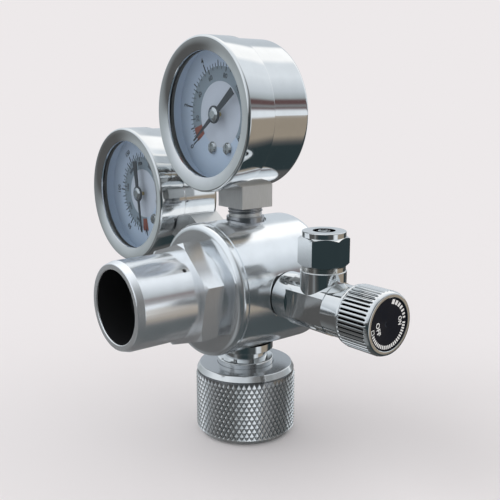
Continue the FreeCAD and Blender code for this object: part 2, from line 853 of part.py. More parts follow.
def sector_gear():
    pitch_radius = tooth_module * sector_teeth / 2
    step = 360 / sector_teeth
    first = sector_first_tooth
    last = first + teeth_in_sector - 1
    middle = (first + last) / 2 * step
    rim_outer = pitch_radius - wheel_dedendum * tooth_module
    rim_inner = rim_outer - sector_rim_width
    near, far = sector_depth, sector_depth + sector_sheet
    rim = ring(rim_outer, rim_inner, near, far)
    reach = 2 * pitch_radius
    ends = [(first - sector_end_margin) * step, middle, (last + sector_end_margin) * step]
    rim = rim.common(slab([ORIGIN] + [clock(reach, degrees) for degrees in ends], near, far))
    arm = lug(ORIGIN, clock((rim_inner + rim_outer) / 2, middle), sector_arm_width, near, far)
    tail_end = clock(sector_tail, sector_tail_clock)
    tail = lug(ORIGIN, tail_end, link_width, near, far)
    hub = peg(sector_hub_radius, near, far)
    teeth = []
    for index in range(teeth_in_sector):
        teeth.append(slab(tooth(pitch_radius, (first + index) * step), near, far))
    pivot = peg(sector_pivot_radius, front_plate_depth, rear_plate_depth + plate_sheet)
    pin = peg(link_pin_radius, near, link_depth + link_sheet + pivot_stand_out, tail_end)
    piece = rim.fuse([arm, tail, hub, pivot, pin] + teeth).removeSplitter()
    piece.translate(sector_pivot)
    return piece


def link():
    start = sector_pivot + clock(sector_tail, sector_tail_clock)
    finish = clock(link_end_radius, link_end_clock)
    near, far = link_depth, link_depth + link_sheet
    bar = lug(start, finish, link_width, near, far)
    for end in (start, finish):
        bar = bar.cut(peg(link_pin_radius + running_gap, near, far, end))
    return bar


def hairspring():
    # flat spiral strip round the pinion's arbor, its outer end held by the frame
    steps = 12
    spread = (hairspring_outer - hairspring_inner) / (hairspring_turns * steps)
    count = hairspring_turns * steps

    def spiral(offset):
        points = []
        for index in range(count + 1):
            points.append(clock(hairspring_inner + spread * index + offset, 360 * index / steps))
        curve = Part.BSplineCurve()
        curve.interpolate(points)
        return curve

    inner, outer = spiral(-hairspring_strip / 2), spiral(hairspring_strip / 2)
    ends = [Part.LineSegment(inner.value(inner.LastParameter), outer.value(outer.LastParameter)).toShape(),
            Part.LineSegment(inner.value(0), outer.value(0)).toShape()]
    strip = Part.Face(Part.Wire(Part.__sortEdges__([inner.toShape(), outer.toShape()] + ends)))
    strip.translate(Vector(0, 0, hairspring_depth))
    return strip.extrude(Vector(0, 0, hairspring_width))


def pointer():
    tip = pointer_tip_width / 2
    root = pointer_root_width / 2
    tail = pointer_tail_width / 2
    far = pointer_depth + pointer_sheet
    right_side = [(tip, pointer_tip_radius), (root, 0), (tail, -pointer_tail_radius)]
    left_side = [(-x, y) for x, y in reversed(right_side)]
    plan = [Vector(x, y, 0) for x, y in right_side + left_side]
    hand = slab(plan, pointer_depth, far).fuse(peg(pointer_disc_radius, pointer_depth, far))
    hand = hand.cut(peg(arbor_radius + running_gap, pointer_depth, far)).removeSplitter()
    hand.rotate(ORIGIN, UP, -pointer_rest_clock)
    return hand


def pointer_hub():
    top = pointer_depth - hub_height
    return turned([(0, top), (0.6 * hub_radius, top, 0.5), (hub_radius, pointer_depth - 0.2),
                   (hub_radius, pointer_depth), (0, pointer_depth)])


def gauge(name, distance, face, lean):
    pieces = {
        "case": [gauge_case(face)],
        "bezel": [gauge_bezel()],
        "window": [rod(window_radius, window_depth, window_depth + window_thickness)],
        "window_gasket": [ring(window_radius, window_radius - gasket_width, window_depth + window_thickness,
                               case_lip_depth)],
        "dial": [gauge_dial()],
        "dial_screws": dial_screws(),
        "stem": [gauge_stem(face, distance)],
        "pressure_tube": [pressure_tube()],
        "movement_plates": [movement_plates()],
        "sector_gear": [sector_gear()],
        "pinion": [pinion()],
        "link": [link()],
        "hairspring": [hairspring()],
        "pointer": [pointer()],
        "pointer_hub": [pointer_hub()],
    }
    # the dial's face looks to -Y and its up points away from the body; depth runs to the rear
    stand = Placement(Vector(0, 0, axis_height), Rotation(Vector(0, 1, 0), -lean))
    stand = stand.multiply(Placement(Vector(0, -face, distance), Rotation(RIGHT, 90)))
    for piece, shapes in pieces.items():
        placed = [shape.mirror(ORIGIN, UP) for shape in shapes]
        for shape in placed:
            shape.Placement = stand.multiply(shape.Placement)
        save(name + "_gauge_" + piece, *placed)
    washer = ring(stem_washer_radius, gauge_thread_radius + thread_gap, gauge_spot_height,
                  gauge_spot_height + stem_washer_thickness)
    save(name + "_gauge_washer", on_body(washer, port_direction(lean)))


def valve_body():
    start = valve_spot_height + valve_washer_thickness
    base = [(0, valve_thread_start), (valve_thread_radius, valve_thread_start, 0.5)]
    base += [(valve_thread_radius, start)]
    base += [(valve_base_radius, start, 0.3), (valve_base_radius, valve_base_end), (0, valve_base_end)]
    half = valve_bar_flats / 2
    radius = valve_bar_radius
    bar = rod(radius, valve_base_end, valve_bar_end)
    bar = bar.common(box(-radius, radius, -half, half, valve_base_end, valve_bar_end))
    end = turned([(0, valve_bar_end), (valve_end_radius, valve_bar_end),
                  (valve_end_radius, valve_end, 0.3), (0, valve_end)])
    solid = facing(turned(base).fuse([bar, end]), RIGHT)
    above = [(0, 0), (boss_radius, 0), (boss_radius, boss_top, 0.25), (stub_radius, boss_top)]
    above += [(stub_radius, stub_top, 0.4), (spigot_root_radius, stub_top)]
    above += [(spigot_tip_radius, spigot_top, 0.2)]
    above += [(0, spigot_top)]
    boss = turned(above)
    boss.translate(Vector(boss_offset, 0, 0))
    solid = solid.fuse(boss)
    steps = [(valve_inlet_radius, valve_thread_start), (orifice_radius, orifice_start)]
    steps += [(needle_chamber_radius, needle_chamber_start), (spindle_thread_hole, spindle_thread_start)]
    steps += [(gland_bore_radius, gland_seat)]
    ends = [low for radius, low in steps[1:]] + [valve_end]
    for (radius, low), high in zip(steps, ends):
        solid = solid.cut(facing(rod(radius, low, high), RIGHT))
    outlet = rod(outlet_bore_radius, 0, stub_top).fuse(rod(spigot_bore_radius, 0, spigot_top))
    outlet.translate(Vector(boss_offset, 0, 0))
    solid = solid.cut(outlet).removeSplitter()
    solid.translate(Vector(0, 0, axis_height))
    return solid


def needle_spindle():
    groove_low = o_ring_at - 1.1 * o_ring_wire
    groove_high = o_ring_at + 1.1 * o_ring_wire
    groove_radius = needle_chamber_radius - running_gap - 2 * o_ring_wire - running_gap
    thread_low = spindle_thread_start + seat_gap
    thread_high = thread_low + spindle_thread_length
    thread = spindle_thread_hole - running_gap
    profile = [(0, needle_tip_at), (needle_tip_radius, needle_tip_at)]
    profile += [(orifice_radius - running_gap, needle_chamber_start), (needle_root_radius, needle_root_at)]
    profile += [(needle_root_radius, needle_shoulder_at), (spindle_radius, needle_shoulder_at)]
    profile += [(spindle_radius, groove_low), (groove_radius, groove_low), (groove_radius, groove_high)]
    profile += [(spindle_radius, groove_high), (spindle_radius, thread_low), (thread, thread_low)]
    profile += [(thread, thread_high), (stem_radius, thread_high), (stem_radius, spindle_end)]
    profile += [(0, spindle_end)]
    hole = rod(knob_screw_radius + thread_gap, spindle_end - knob_screw_length, spindle_end)
    return turned(profile).cut(hole)


def spindle_o_ring():
    mean_radius = needle_chamber_radius - running_gap - o_ring_wire
    return Part.makeTorus(mean_radius, o_ring_wire, Vector(0, 0, o_ring_at))


def gland_nut():
    across = 2 * gland_flange_radius * math.cos(math.pi / 6)
    flange = prism(6, across, valve_end, valve_end + gland_flange_length)
    shank = rod(gland_bore_radius - thread_gap, gland_seat + seat_gap, valve_end)
    bore = rod(stem_radius + running_gap, gland_seat, valve_end + gland_flange_length)
    return flange.fuse(shank).cut(bore).removeSplitter()


gland_seat = spindle_thread_start + seat_gap + spindle_thread_length + spindle_turns * spindle_pitch
knob_front = knob_rear + knob_length
dial_insert_high = knob_front - dial_insert_recess
dial_insert_low = dial_insert_high - dial_insert_thickness


def knob():
    grip_low = knob_rear + knob_collar_length
    grip_high = knob_front - knob_rim_length
    insert_hole = dial_insert_radius + running_gap
    profile = [(knob_recess_radius, knob_rear), (knob_collar_radius, knob_rear, 0.3)]
    profile += [(knob_collar_radius, grip_low), (knob_radius, grip_low + 0.3)]
    profile += [(knob_radius, knob_front, knob_rim_round), (insert_hole, knob_front, 0.25)]
    profile += [(insert_hole, dial_insert_low), (0, dial_insert_low), (0, knob_rear + knob_recess_depth)]
    profile += [(knob_recess_radius, knob_rear + knob_recess_depth)]
    solid = turned(profile)
    half = knob_flute_share * 2 * math.pi * knob_radius / knob_flutes
    outside = knob_radius + knob_flute_margin
    floor = Vector(knob_radius - knob_flute_depth, 0, 0)
    cutter = [Vector(outside, -half, 0), floor, Vector(outside, half, 0)]
    flutes = []
    for index in range(knob_flutes):
        flute = slab(cutter, grip_low, grip_high)
        flute.rotate(ORIGIN, UP, 360 * index / knob_flutes)
        flutes.append(flute)
    solid = solid.cut(flutes)
    solid = solid.cut(rod(stem_radius + running_gap, knob_rear, spindle_end + running_gap))
    screw_seat = dial_insert_low - knob_screw_head_height - running_gap
    solid = solid.cut(rod(knob_screw_head_radius + running_gap, screw_seat, dial_insert_low))
    return solid.cut(rod(knob_screw_radius + seat_gap, spindle_end, screw_seat))


def knob_screw():
    low = dial_insert_low - knob_screw_head_height - running_gap
    high = dial_insert_low - running_gap
    socket = prism(6, knob_screw_socket, high - knob_screw_socket_depth, high)
    head = rod(knob_screw_head_radius, low, high).cut(socket)
    return head.fuse(rod(knob_screw_radius, low - knob_screw_bite, low)).removeSplitter()


def knob_dial():
    profile = [(0, dial_insert_low), (dial_insert_radius, dial_insert_low)]
    profile += [(dial_insert_radius, dial_insert_high, 0.15), (0, dial_insert_high - dial_insert_cone)]
    return turned(profile)


def tube_nut():
    hexagon = bevelled_hexagon(tube_nut_across, tube_nut_bottom, tube_nut_hex_top, tube_nut_corner,
                               tube_nut_bevel, tube_nut_bevel)
    collar_low = tube_nut_hex_top - tube_nut_bevel
    collar = turned([(0, collar_low), (tube_nut_top_radius, collar_low),
                     (tube_nut_top_radius, tube_nut_top, 0.25), (0, tube_nut_top)])
    solid = hexagon.fuse(collar)
    thread = stub_radius + thread_gap
    cone_top = tube_nut_thread_top + tube_nut_hole_cone
    inside = [(0, tube_nut_bottom), (thread, tube_nut_bottom), (thread, tube_nut_thread_top)]
    inside += [(tube_nut_hole_radius, cone_top), (tube_nut_hole_radius, tube_nut_top), (0, tube_nut_top)]
    return solid.cut(turned(inside)).removeSplitter()


def needle_valve_set():
    washer = ring(valve_washer_radius, valve_thread_radius + thread_gap, valve_spot_height,
                  valve_spot_height + valve_washer_thickness)
    save("valve_seal", on_body(washer, RIGHT))
    save("valve_body", valve_body())
    save("needle_spindle", on_body(needle_spindle(), RIGHT))
    save("spindle_o_ring", on_body(spindle_o_ring(), RIGHT))
    save("gland_nut", on_body(gland_nut(), RIGHT))
    save("knob", on_body(knob(), RIGHT))
    save("knob_screw", on_body(knob_screw(), RIGHT))
    save("knob_dial", on_body(knob_dial(), RIGHT))
    over_outlet = Vector(boss_offset, 0, axis_height)
    nut_washer = ring(nut_washer_radius, stub_radius + thread_gap, boss_top, tube_nut_bottom)
    save("tube_nut_washer", facing(nut_washer, UP, over_outlet))
    save("tube_nut", facing(tube_nut(), UP, over_outlet))


os.makedirs("parts", exist_ok=True)
pressure_reducing_set()
inlet_set()
gauge("upper", upper_gauge_distance, upper_gauge_face, 0)
gauge("side", side_gauge_distance, side_gauge_face, side_port_lean)
needle_valve_set()
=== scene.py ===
import json
from math import cos, hypot, pi, radians, sin

import bmesh
import bpy
from mathutils import Matrix, Vector


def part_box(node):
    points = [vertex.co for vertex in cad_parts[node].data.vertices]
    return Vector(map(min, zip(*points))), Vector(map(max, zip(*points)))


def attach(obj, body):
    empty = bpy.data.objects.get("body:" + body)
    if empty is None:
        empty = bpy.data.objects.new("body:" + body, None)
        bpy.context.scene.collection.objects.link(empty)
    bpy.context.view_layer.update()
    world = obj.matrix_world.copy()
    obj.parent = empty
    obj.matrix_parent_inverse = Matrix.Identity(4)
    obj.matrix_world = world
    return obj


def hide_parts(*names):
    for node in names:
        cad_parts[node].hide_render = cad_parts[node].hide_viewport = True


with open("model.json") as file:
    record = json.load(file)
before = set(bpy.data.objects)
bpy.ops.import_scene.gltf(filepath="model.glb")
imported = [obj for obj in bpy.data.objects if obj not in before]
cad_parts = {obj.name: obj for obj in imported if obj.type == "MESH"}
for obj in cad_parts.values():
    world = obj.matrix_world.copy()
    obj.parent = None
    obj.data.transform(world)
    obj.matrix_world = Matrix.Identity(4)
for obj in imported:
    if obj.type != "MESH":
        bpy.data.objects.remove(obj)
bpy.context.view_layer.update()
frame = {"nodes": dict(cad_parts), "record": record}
nodes = frame["nodes"]
slotOf = {row["node"]: row["material_slot"] for row in frame["record"]["subparts"]}
mm = 0.001
print("frame loaded:", len(nodes), "nodes")


# shader building

class Wire:
    # one output of a node; sums on wires and numbers add Math nodes
    def __init__(self, graph, socket):
        self.graph, self.socket = graph, socket

    def other(self, name):
        return Wire(self.graph, self.socket.node.outputs[name])

    def __add__(self, value):
        return self.graph.math("ADD", self, value)

    def __radd__(self, value):
        return self.graph.math("ADD", value, self)

    def __sub__(self, value):
        return self.graph.math("SUBTRACT", self, value)

    def __rsub__(self, value):
        return self.graph.math("SUBTRACT", value, self)

    def __mul__(self, value):
        return self.graph.math("MULTIPLY", self, value)

    def __rmul__(self, value):
        return self.graph.math("MULTIPLY", value, self)

    def __truediv__(self, value):
        return self.graph.math("DIVIDE", self, value)

    def __rtruediv__(self, value):
        return self.graph.math("DIVIDE", value, self)

    def __pow__(self, value):
        return self.graph.math("POWER", self, value)

    def __gt__(self, value):
        return self.graph.math("GREATER_THAN", self, value)

    def __lt__(self, value):
        return self.graph.math("LESS_THAN", self, value)


class Graph:
    # a node tree that is filled through node()
    def __init__(self, tree):
        self.tree = tree

    def node(self, kind, settings={}, values={}, out=0):
        made = self.tree.nodes.new(kind)
        for name, setting in settings.items():
            if name == "stops":
                ramp = made.color_ramp
                while len(ramp.elements) < len(setting):
                    ramp.elements.new(0.5)
                for element, (place, colour) in zip(ramp.elements, setting):
                    element.position = place
                for element, (place, colour) in zip(ramp.elements, setting):
                    element.color = (*colour, 1)
            else:
                setattr(made, name, setting)
        for name, value in values.items():
            if isinstance(value, Wire):
                self.tree.links.new(value.socket, made.inputs[name])
            else:
                made.inputs[name].default_value = value
        return Wire(self, made.outputs[out]) if made.outputs else made

    def math(self, operation, *values):
        return self.node("ShaderNodeMath", {"operation": operation}, dict(enumerate(values)))

    def mix(self, factor, first, second):
        def full(colour):
            return colour if isinstance(colour, Wire) else (*colour, 1)
        values = {0: factor, 6: full(first), 7: full(second)}
        return self.node("ShaderNodeMix", {"data_type": "RGBA"}, values, out=2)

    def smooth(self, value, low, high):
        return self.node("ShaderNodeMapRange", {"interpolation_type": "SMOOTHSTEP"},
                         {"Value": value, "From Min": low, "From Max": high})

    def place(self):
        x = self.node("ShaderNodeSeparateXYZ", {}, {0: self.node("ShaderNodeTexCoord", out="Object")})
        return x / mm, x.other("Y") / mm, x.other("Z") / mm  # millimetres in the row frame

    def noise(self, x, y, z, detail=2.0, roughness=0.55):
        spot = self.node("ShaderNodeCombineXYZ", {}, {0: x, 1: y, 2: z})
        return self.node("ShaderNodeTexNoise", {}, {"Vector": spot, "Scale": 1.0, "Detail": detail,
                                                    "Roughness": roughness})


class Finish(Graph):
    # a material on the Principled shader; constants go straight on its sockets
    def __init__(self, name, **constants):
        self.material = bpy.data.materials.new(name)
        self.material.use_nodes = True
        super().__init__(self.material.node_tree)
        self.shader = self.tree.nodes["Principled BSDF"]
        for socket, value in constants.items():
            spaced = "".join(" " + letter if letter.isupper() else letter for letter in socket).strip()
            spaced = spaced.replace("I O R", "IOR")
            self.shader.inputs[spaced].default_value = (*value, 1) if isinstance(value, tuple) else value

    def feed(self, socket, wire):
        self.tree.links.new(wire.socket, self.shader.inputs[socket])

    def bump(self, height, depth, under=None):
        values = {"Height": height, "Distance": depth, "Strength": 1.0}
        if under:
            values["Normal"] = under
        return self.node("ShaderNodeBump", {}, values)


def dialCentre(side):
    low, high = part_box(side + "_gauge_dial")
    return (low + high) / 2 / mm


axisHeight = 46.4
upperCentre, sideCentre = dialCentre("upper"), dialCentre("side")
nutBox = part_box("tube_nut")
tubeX = (nutBox[0].x + nutBox[1].x) / 2 / mm
sideLean = 60.0
turnedAbout = {  # the axis that each assembly was turned about: its direction and a point on it in mm
    "body": ("Y", (0, 0, axisHeight)),
    "inlet": ("Z", (0, 0, 0)),
    "valve": ("X", (0, 0, axisHeight)),
    "tube": ("Z", (tubeX, 0, 0)),
    "upper": ("Y", tuple(upperCentre)),
    "side": ("Y", tuple(sideCentre)),
}


def assemblyOf(node):
    if node.startswith(("upper_gauge", "side_gauge")):
        return node.split("_")[0]
    if node.startswith(("inlet", "hand", "nipple")):
        return "inlet"
    if node.startswith("tube_nut"):
        return "tube"
    if node.startswith(("valve_body", "valve_seal", "needle", "spindle", "gland", "knob")):
        return "valve"
    return "body"


def turnedPlace(finish, assembly):
    # distance along the turning axis and away from it, in millimetres
    x, y, z = finish.place()
    axis, (cx, cy, cz) = turnedAbout[assembly]
    if axis == "X":
        return x, ((y - cy) ** 2 + (z - cz) ** 2) ** 0.5
    if axis == "Y":
        return y, ((x - cx) ** 2 + (z - cz) ** 2) ** 0.5
    return z, ((x - cx) ** 2 + (y - cy) ** 2) ** 0.5


metalLooks = {  # colour, roughness, how far lines, blotches and waves vary it, spacing and depths in mm
    "body_satin": {"colour": (0.91, 0.935, 0.955), "metallic": 0.94, "rough": 0.17,
                   "lines": 0.015, "cloud": 0.03, "spacing": 0.12, "depth": 0.0003, "wave": 0.003},
    "bonnet_satin": {"colour": (0.95, 0.97, 0.99), "metallic": 0.88, "rough": 0.18,
                     "lines": 0.015, "cloud": 0.02, "spacing": 0.12, "depth": 0.0002, "wave": 0.0},
    "polished_chrome": {"colour": (0.80, 0.815, 0.82), "metallic": 1.0, "rough": 0.06,
                        "lines": 0.03, "cloud": 0.03, "spacing": 0.16, "depth": 0.0006, "wave": 0.003},
    "chromed_steel": {"colour": (0.80, 0.815, 0.82), "metallic": 1.0, "rough": 0.075,
                      "lines": 0.03, "cloud": 0.05, "spacing": 0.2, "depth": 0.0008, "wave": 0.008},
    "nickel_trim": {"colour": (0.74, 0.73, 0.70), "metallic": 1.0, "rough": 0.14,
                    "lines": 0.08, "cloud": 0.06, "spacing": 0.1, "depth": 0.002, "wave": 0.0},
    "spring_steel": {"colour": (0.42, 0.43, 0.45), "metallic": 1.0, "rough": 0.3,
                     "lines": 0.1, "cloud": 0.1, "spacing": 0.1, "depth": 0.003, "wave": 0.0},
    "bare_brass": {"colour": (0.78, 0.58, 0.27), "metallic": 1.0, "rough": 0.24,
                   "lines": 0.14, "cloud": 0.08, "spacing": 0.1, "depth": 0.003, "wave": 0.0},
}
blotches = {"size": 6, "from": 0.35, "to": 0.7, "dulled": 0.95, "waveSize": 5}  # sizes in mm
ownLook = {"regulator_body": "body_satin", "upper_gauge_washer": "spring_steel",
           "side_gauge_washer": "spring_steel"}  # nodes with a finish of their own


def turnedMetal(name, assembly):
    look = metalLooks[name]
    finish = Finish(name + "_" + assembly, Metallic=look["metallic"])
    along, away = turnedPlace(finish, assembly)
    x, y, z = finish.place()
    lines = finish.noise(along / look["spacing"], away / look["spacing"], 0.0, detail=3.0)
    size, waveSize = blotches["size"], blotches["waveSize"]
    cloud = finish.noise(x / size, y / size, z / size, detail=3.0)
    rough = look["rough"] + (lines - 0.5) * look["lines"] + (cloud - 0.5) * look["cloud"]
    finish.feed("Roughness", rough)
    dull = [channel * blotches["dulled"] for channel in look["colour"]]
    blotch = finish.smooth(cloud, blotches["from"], blotches["to"])
    finish.feed("Base Color", finish.mix(blotch, look["colour"], dull))
    normal = finish.bump(lines, look["depth"] * mm)
    if look["wave"]:
        wave = finish.noise(x / waveSize, y / waveSize, z / waveSize, detail=0.0)
        normal = finish.bump(wave, look["wave"] * mm, under=normal)
    finish.feed("Normal", normal)
    return finish


stemLook = {"metallic": 0.8, "dark": (0.50, 0.51, 0.51), "light": (0.78, 0.79, 0.79), "rough": 0.36,
            "lines": 0.2, "cloud": 0.06, "spacing": 0.09, "length": 3.0, "cloudSize": 4, "depth": 0.006}


def brushedStem(assembly):
    # straight lines along the stem, which leans with its gauge
    look = stemLook
    finish = Finish("brushed_nickel_" + assembly, Metallic=look["metallic"])
    lean = radians(sideLean if assembly == "side" else 0)
    x, y, z = finish.place()
    across = x * cos(lean) + z * sin(lean)
    along = z * cos(lean) - x * sin(lean)
    lines = finish.noise(across / look["spacing"], y / look["spacing"], along / look["length"], detail=3.0)
    size = look["cloudSize"]
    cloud = finish.noise(x / size, y / size, z / size)
    finish.feed("Roughness", look["rough"] + (lines - 0.5) * look["lines"] + (cloud - 0.5) * look["cloud"])
    finish.feed("Base Color", finish.mix(lines, look["dark"], look["light"]))
    finish.feed("Normal", finish.bump(lines, look["depth"] * mm))
    return finish


# black: painted shade inside the bonnet's mouth and in its vent hole
bonnetMouth = {"radius": 10.9, "edgeY": -44.3, "webY": -28.6, "black": (0.006, 0.006, 0.007),
               "rough": 0.6, "ventY": -28.0, "ventAngle": 43.0, "ventRadius": 0.75, "skin": 12.28}


def bonnetMetal():
    # satin outside, and black painted shade inside the barrel, over the web's front and down the vent hole
    mouth = bonnetMouth
    finish = turnedMetal("bonnet_satin", "body")
    along, away = turnedPlace(finish, "body")
    x, y, z = finish.place()
    inside = (away < mouth["radius"]) * (along < mouth["webY"]) * (along > mouth["edgeY"])
    turn = radians(mouth["ventAngle"])
    aside = (z - axisHeight) * cos(turn) - x * sin(turn)
    fromVent = ((y - mouth["ventY"]) ** 2 + aside ** 2) ** 0.5
    vent = (fromVent < mouth["ventRadius"]) * (away < mouth["skin"]) * (x > 0)
    # where the black painted shade goes: the mouth's inside and the vent hole
    black = finish.math("MAXIMUM", inside, vent)
    paintWhere(finish, black, mouth["black"], mouth["rough"])
    finish.feed("Metallic", (1 - black) * metalLooks["bonnet_satin"]["metallic"])
    return finish


def paintWhere(finish, mask, colour, rough=None):
    # another colour, and roughness, where the mask is 1
    base = Wire(finish, finish.shader.inputs["Base Color"].links[0].from_socket)
    finish.feed("Base Color", finish.mix(mask, base, colour))
    if rough is not None:
        under = Wire(finish, finish.shader.inputs["Roughness"].links[0].from_socket)
        finish.feed("Roughness", under * (1 - mask) + mask * rough)


nutLook = {"metallic": 0.86, "face": (0.50, 0.52, 0.54), "faceRough": 0.2, "faceDepth": 0.08,
           "pits": (0.35, 0.36, 0.37), "innerRadius": 13, "pitRadius": 14.8, "peakRadius": 14.94, "gripLow": 1.7,
           "gripHigh": 19.72}


def nutMetal():
    # chrome with a duller turned face on top, and painted shade in the pits between the knurl's peaks
    look = nutLook
    finish = turnedMetal("polished_chrome", "inlet")
    finish.shader.inputs["Metallic"].default_value = look["metallic"]
    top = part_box("hand_nut")[1].z / mm
    along, away = turnedPlace(finish, "inlet")
    paintWhere(finish, along > top - look["faceDepth"], look["face"], look["faceRough"])
    # painted shade: a darker colour in the knurl's pits
    pits = 1 - finish.smooth(away, look["pitRadius"], look["peakRadius"])
    gripped = (along > look["gripLow"]) * (along < look["gripHigh"]) * (away > look["innerRadius"])
    paintWhere(finish, pits * gripped, look["pits"])
    return finish


washerEdge = {"height": 0.4, "black": (0.01, 0.01, 0.011), "rough": 0.5}


def washerMetal():
    # a metal washer whose upper edge is black
    finish = turnedMetal("chromed_steel", "inlet")
    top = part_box("nipple_washer")[1].z / mm
    x, y, z = finish.place()
    paintWhere(finish, z > top - washerEdge["height"], washerEdge["black"], washerEdge["rough"])
    return finish


plainGrain = {"cloudSize": 5, "cloud": 0.6, "fine": 0.4, "lines": 0.1}  # size in mm, then shares


def plainFinish(name, colour, rough, grain, depth, spacing, **constants):
    finish = Finish(name, **constants)
    x, y, z = finish.place()
    fine = finish.noise(x / spacing, y / spacing, z / spacing, detail=3.0)
    size = plainGrain["cloudSize"]
    cloud = finish.noise(x / size, y / size, z / size)
    second = [channel * (1 - grain) for channel in colour]
    finish.feed("Base Color", finish.mix(cloud * plainGrain["cloud"] + fine * plainGrain["fine"], colour, second))
    finish.feed("Roughness", rough + (fine - 0.5) * plainGrain["lines"])
    finish.feed("Normal", finish.bump(fine, depth * mm))
    return finish


paneLook = {"tint": (0.93, 0.95, 0.97, 1), "mirrorRough": 0.02, "haze": 0.02, "hazeSize": 3, "index": 1.5}


def windowGlass():
    # clear pane: what lies behind shows with a slight tint, and the surface mirrors by its angle
    look = paneLook
    finish = Finish("clear_window")
    finish.tree.nodes.remove(finish.shader)
    clear = finish.node("ShaderNodeBsdfTransparent", {}, {"Color": look["tint"]})
    mirror = finish.node("ShaderNodeBsdfAnisotropic", {}, {"Color": (1, 1, 1, 1),
                                                           "Roughness": look["mirrorRough"]})
    x, y, z = finish.place()
    size = look["hazeSize"]
    haze = finish.noise(x / size, y / size, z / size) * look["haze"]
    edge = finish.node("ShaderNodeFresnel", {}, {"IOR": look["index"]})
    outer = 1 - finish.node("ShaderNodeNewGeometry", out="Backfacing")  # the pane's inner side would mirror fully
    both = finish.node("ShaderNodeMixShader", {}, {0: (edge + haze) * outer, 1: clear, 2: mirror})
    finish.tree.links.new(both.socket, finish.tree.nodes["Material Output"].inputs["Surface"])
    return finish


plainLooks = {
    "black_rubber": dict(colour=(0.014, 0.014, 0.015), rough=0.55, grain=0.3, depth=0.01, spacing=0.4),
    "white_nylon": dict(colour=(0.82, 0.80, 0.72), rough=0.4, grain=0.05, depth=0.004, spacing=0.5),
    "sintered_bronze": dict(colour=(0.42, 0.26, 0.14), rough=0.7, grain=0.5, depth=0.06, spacing=0.25,
                            Metallic=0.8),
    "black_enamel": dict(colour=(0.003, 0.006, 0.014), rough=0.14, grain=0.2, depth=0.002, spacing=1.5,
                         SpecularIORLevel=0.25),
    "pointer_black": dict(colour=(0.035, 0.042, 0.050), rough=0.4, grain=0.3, depth=0.003, spacing=0.4),
    # the white dial, its centre disc and its grey band are coloured darker and bluer than their print: painted
    # shade from the bezel and the pane
    "dial_white": dict(colour=(0.54, 0.64, 0.76), rough=0.5, grain=0.05, depth=0.002, spacing=0.8),
    "dial_centre": dict(colour=(0.60, 0.64, 0.70), rough=0.5, grain=0.04, depth=0.002, spacing=0.8),
    "dial_band": dict(colour=(0.25, 0.31, 0.35), rough=0.5, grain=0.06, depth=0.002, spacing=0.8),
    "dial_ink": dict(colour=(0.015, 0.02, 0.03), rough=0.45, grain=0.2, depth=0.001, spacing=0.5),
    "dial_red": dict(colour=(0.30, 0.075, 0.045), rough=0.45, grain=0.15, depth=0.001, spacing=0.5),
    "knob_ink": dict(colour=(0.92, 0.92, 0.90), rough=0.4, grain=0.1, depth=0.001, spacing=0.5),
}

finishes = {}


def finishFor(slot, assembly="body"):
    key = (slot, assembly) if slot in metalLooks or slot == "brushed_nickel" else (slot, "")
    if key not in finishes:
        if slot in metalLooks:
            finishes[key] = turnedMetal(slot, assembly)
        elif slot == "brushed_nickel":
            finishes[key] = brushedStem(assembly)
        elif slot == "clear_window":
            finishes[key] = windowGlass()
        else:
            finishes[key] = plainFinish(slot, **plainLooks[slot])
    return finishes[key].material


ownFinish = {"bonnet": bonnetMetal().material, "hand_nut": nutMetal().material,
             "nipple_washer": washerMetal().material}
for name, thing in nodes.items():
    material = ownFinish.get(name) or finishFor(ownLook.get(name, slotOf[name]), assemblyOf(name))
    for place in thing.material_slots:
        place.material = material
print("materials on the frame:", len(finishes) + len(ownFinish))


# mesh building

class Solid:
    # collects corners and faces, in metres
    def __init__(self):
        self.corners, self.faces = [], []

    def add(self, corners, faces):
        start = len(self.corners)
        self.corners += [tuple(corner) for corner in corners]
        self.faces += [tuple(start + index for index in face) for face in faces]

    def plate(self, outline, low, high, put):
        # a flat piece: outline of (right, up) in mm, from height low to high, placed by put
        count = len(outline)
        corners = [put(a, b, low) for a, b in outline] + [put(a, b, high) for a, b in outline]
        sides = [(i, (i + 1) % count, count + (i + 1) % count, count + i) for i in range(count)]
        self.add(corners, sides + [tuple(reversed(range(count))), tuple(range(count, 2 * count))])

    def lathe(self, profile, place, steps):
        # profile of (radius, height) in mm, closed, turned about the third axis of place
        count = len(profile)
        corners = [place @ Vector((r * cos(2 * pi * s / steps), r * sin(2 * pi * s / steps), h))
                   for s in range(steps) for r, h in profile]
        faces = [(s * count + i, (s + 1) % steps * count + i, (s + 1) % steps * count + (i + 1) % count,
                  s * count + (i + 1) % count) for s in range(steps) for i in range(count)]
        self.add(corners, faces)

    def build(self, name, material, body, slot, sharp=30):
        mesh = bpy.data.meshes.new(name)
        mesh.from_pydata(self.corners, [], self.faces)
        mesh.validate()
        shell = bmesh.new()
        shell.from_mesh(mesh)
        bmesh.ops.recalc_face_normals(shell, faces=shell.faces)
        shell.to_mesh(mesh)
        shell.free()
        mesh.materials.append(material)
        mesh.shade_smooth()
        mesh.set_sharp_from_angle(angle=radians(sharp))
        thing = bpy.data.objects.new(name, mesh)
        bpy.context.scene.collection.objects.link(thing)
        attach(thing, body)
        return thing


def axes(right, up, out, centre):
    # a matrix from a local (right, up, out) in mm to the row frame in metres
    turn = Matrix((right, up, out)).transposed().to_4x4()
    return Matrix.Translation(Vector(centre) * mm) @ turn @ Matrix.Scale(mm, 4)


